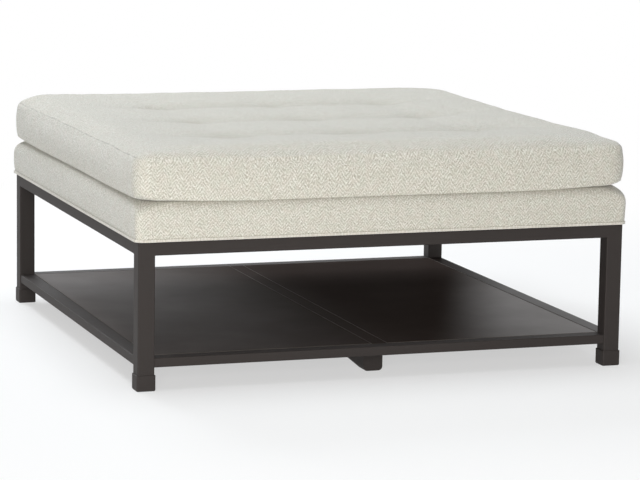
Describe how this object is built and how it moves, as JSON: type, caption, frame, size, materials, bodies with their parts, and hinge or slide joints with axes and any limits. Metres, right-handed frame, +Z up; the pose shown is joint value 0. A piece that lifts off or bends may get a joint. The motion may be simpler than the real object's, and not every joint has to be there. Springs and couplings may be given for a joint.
{
  "type": "ottoman coffee table",
  "caption": "Square ottoman table: welded steel base with a low sheet-metal shelf, upholstered deck, loose tufted top cushion.",
  "frame": {"origin": "on the floor, under the middle of the table", "axes": "+Z up, +X to the right and +Y to the back as one faces the front"},
  "size_m": [1.0732, 1.0732, 0.484],
  "materials": {
    "bronze_steel": "satin",
    "black_nylon": "matte",
    "softwood": "matte",
    "plywood": "matte",
    "dust_cloth": "matte",
    "herringbone": "matte",
    "base_cloth": "matte",
    "foam": "matte",
    "zinc_steel": "satin",
    "cord": "matte",
    "clear_grey_plastic": "satin"
  },
  "bodies": {
    "base": {"leg_front_left": "bronze_steel", "leg_front_right": "bronze_steel", "leg_back_left": "bronze_steel", "leg_back_right": "bronze_steel", "foot_sleeve_front_left": "bronze_steel", "foot_sleeve_front_right": "bronze_steel", "foot_sleeve_back_left": "bronze_steel", "foot_sleeve_back_right": "bronze_steel", "corner_plate_front_left": "bronze_steel", "corner_plate_front_right": "bronze_steel", "corner_plate_back_left": "bronze_steel", "corner_plate_back_right": "bronze_steel", "top_rail_front": "bronze_steel", "top_rail_right": "bronze_steel", "top_rail_back": "bronze_steel", "top_rail_left": "bronze_steel", "shelf_rail_front": "bronze_steel", "shelf_rail_right": "bronze_steel", "shelf_rail_back": "bronze_steel", "shelf_rail_left": "bronze_steel", "shelf_centre_rail": "bronze_steel", "shelf_panel_left": "bronze_steel", "shelf_panel_right": "bronze_steel", "shelf_ledge_left_outer": "bronze_steel", "shelf_ledge_left_inner": "bronze_steel", "shelf_ledge_right_outer": "bronze_steel", "shelf_ledge_right_inner": "bronze_steel", "centre_runner": "bronze_steel", "runner_cap_front": "bronze_steel", "runner_cap_back": "bronze_steel", "leg_glide_front_left": "black_nylon", "leg_glide_front_right": "black_nylon", "leg_glide_back_left": "black_nylon", "leg_glide_back_right": "black_nylon", "runner_glides": "black_nylon", "deck_rail_front": "softwood", "deck_rail_right": "softwood", "deck_rail_back": "softwood", "deck_rail_left": "softwood", "deck_cross_rail_left": "softwood", "deck_cross_rail_right": "softwood", "deck_corner_block_front_left": "softwood", "deck_corner_block_front_right": "softwood", "deck_corner_block_back_left": "softwood", "deck_corner_block_back_right": "softwood", "deck_board": "plywood", "dust_cover": "dust_cloth", "deck_cover": "herringbone", "deck_welt": "herringbone", "deck_foam": "foam", "mounting_bolts": "zinc_steel", "mounting_washers": "zinc_steel", "tee_nuts": "zinc_steel", "deck_screws": "zinc_steel"},
    "cushion": {"cushion_cover": "herringbone", "cushion_base_cloth": "base_cloth", "cushion_core": "foam", "tuft_ties": "cord", "tuft_anchor_discs": "clear_grey_plastic"}
  },
  "joints": [
    {"name": "cushion_lift", "type": "slide", "parent": "base", "child": "cushion", "axis": [0, 0, 1], "range_m": [0, 0.15]}
  ]
}
